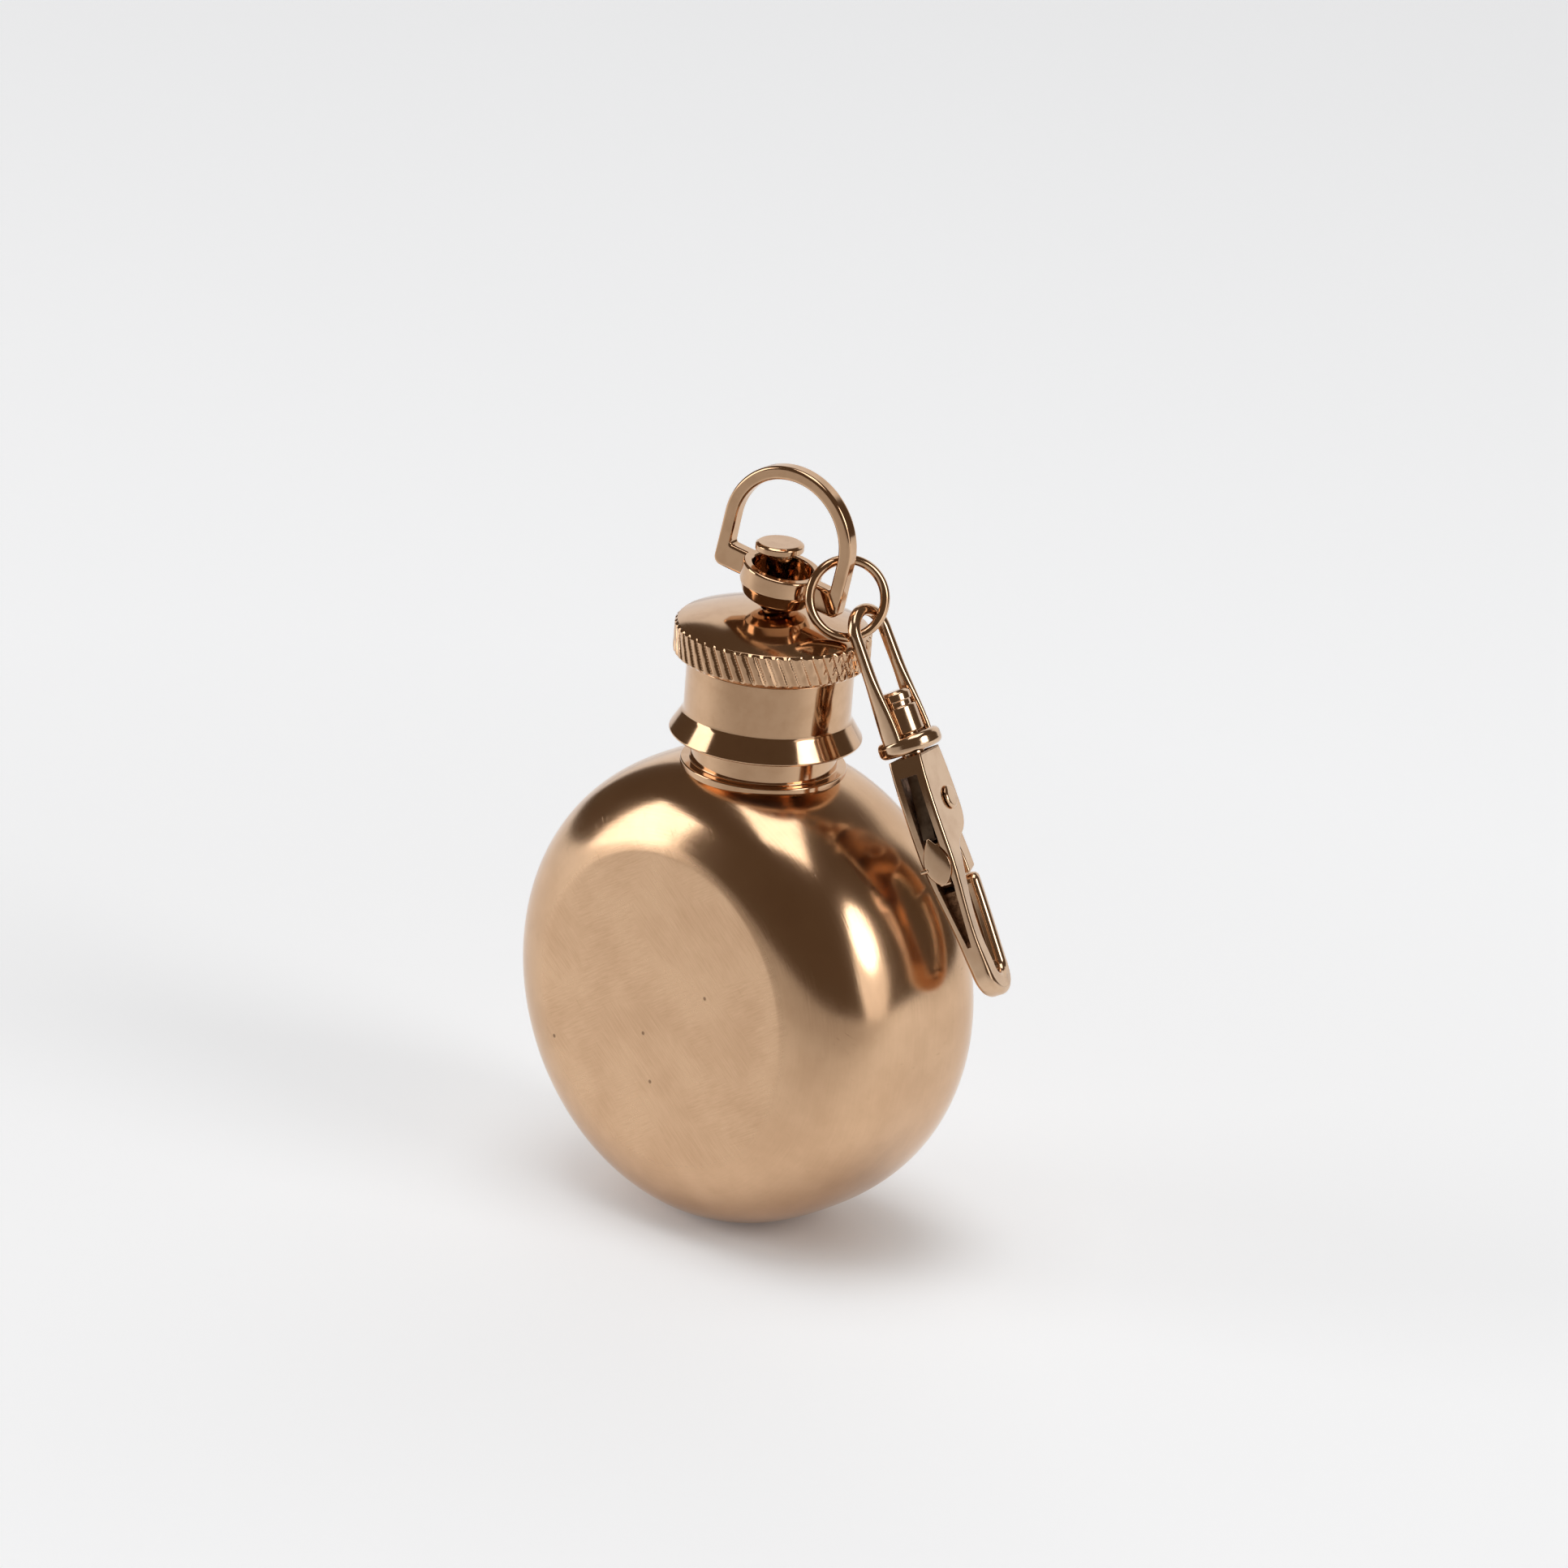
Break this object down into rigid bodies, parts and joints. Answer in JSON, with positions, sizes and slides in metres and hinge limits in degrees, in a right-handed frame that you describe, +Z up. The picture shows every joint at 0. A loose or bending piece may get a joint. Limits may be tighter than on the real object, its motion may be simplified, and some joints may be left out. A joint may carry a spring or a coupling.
{
  "type": "keychain flask",
  "caption": "Small round pocket flask in rose-gold plated steel, with a screw cap, a swivelling bail, a jump ring and a sprung swivel clasp to hang it on a key ring or bag.",
  "frame": {"origin": "middle of the small flat in the rim that the flask stands on", "axes": "+Z up through the neck and cap, -Y out of the flat front face, +X towards the side where the clasp hangs"},
  "size_m": [0.0499, 0.0238, 0.0726],
  "materials": {
    "brushed_plate": "rose-gold plate over brushed steel, satin with fine scratches",
    "polished_plate": "rose-gold plate, polished",
    "plain_steel": "bare steel",
    "silicone": "soft matt"
  },
  "bodies": {
    "flask": {"front_shell": "brushed_plate", "rear_shell": "brushed_plate", "neck": "polished_plate"},
    "liner": {"cap_liner": "silicone"},
    "screw_cap": {"cap": "polished_plate"},
    "rivet": {"swivel_rivet": "polished_plate", "rivet_washer": "plain_steel"},
    "bail_loop": {"bail": "polished_plate"},
    "ring": {"jump_ring": "polished_plate"},
    "eye": {"clasp_eye": "polished_plate"},
    "hook": {"clasp_swivel_pin": "polished_plate", "clasp_hook": "polished_plate", "gate_pin": "polished_plate", "gate_spring": "plain_steel"},
    "gate": {"clasp_gate": "polished_plate"}
  },
  "joints": [
    {"name": "cap_lift", "type": "slide", "parent": "flask", "child": "liner", "axis": [0, 0, 1], "range_m": [0, 0.0045]},
    {"name": "cap_turn", "type": "hinge", "parent": "liner", "child": "screw_cap", "pos_m": [0, 0, 0.05], "axis": [0, 0, 1], "range_deg": [0, 1080]},
    {"name": "rivet_spin", "type": "hinge", "parent": "screw_cap", "child": "rivet", "pos_m": [0, 0, 0.057], "axis": [0, 0, 1], "continuous": true},
    {"name": "bail_rock", "type": "hinge", "parent": "rivet", "child": "bail_loop", "pos_m": [0, 0, 0.05987], "axis": [-0.1685, 0.9857, 0], "range_deg": [-19.2, 0]},
    {"name": "ring_swing", "type": "hinge", "parent": "bail_loop", "child": "ring", "pos_m": [0.0069, 0.00118, 0.06376], "axis": [0.1644, 0.0281, 0.986], "range_deg": [-10, 35]},
    {"name": "eye_swing", "type": "hinge", "parent": "ring", "child": "eye", "pos_m": [0.00931, 0.00359, 0.05926], "axis": [0.1357, -0.9907, 0], "range_deg": [0, 45]},
    {"name": "clasp_swivel", "type": "hinge", "parent": "eye", "child": "hook", "pos_m": [0.0082, 0.00264, 0.06031], "axis": [-0.483, -0.0662, 0.8731], "continuous": true},
    {"name": "gate_open", "type": "hinge", "parent": "hook", "child": "gate", "pos_m": [0.01708, 0.00435, 0.04388], "axis": [-0.8065, -0.3547, -0.4731], "range_deg": [0, 18], "stiffness_Nm_per_rad": 0.02, "springref_deg": -17.19, "deforming": ["gate_spring"]}
  ],
  "couplings": [
    {"joint": "cap_turn", "follows": "cap_lift", "rad_per_m": 4188}
  ]
}
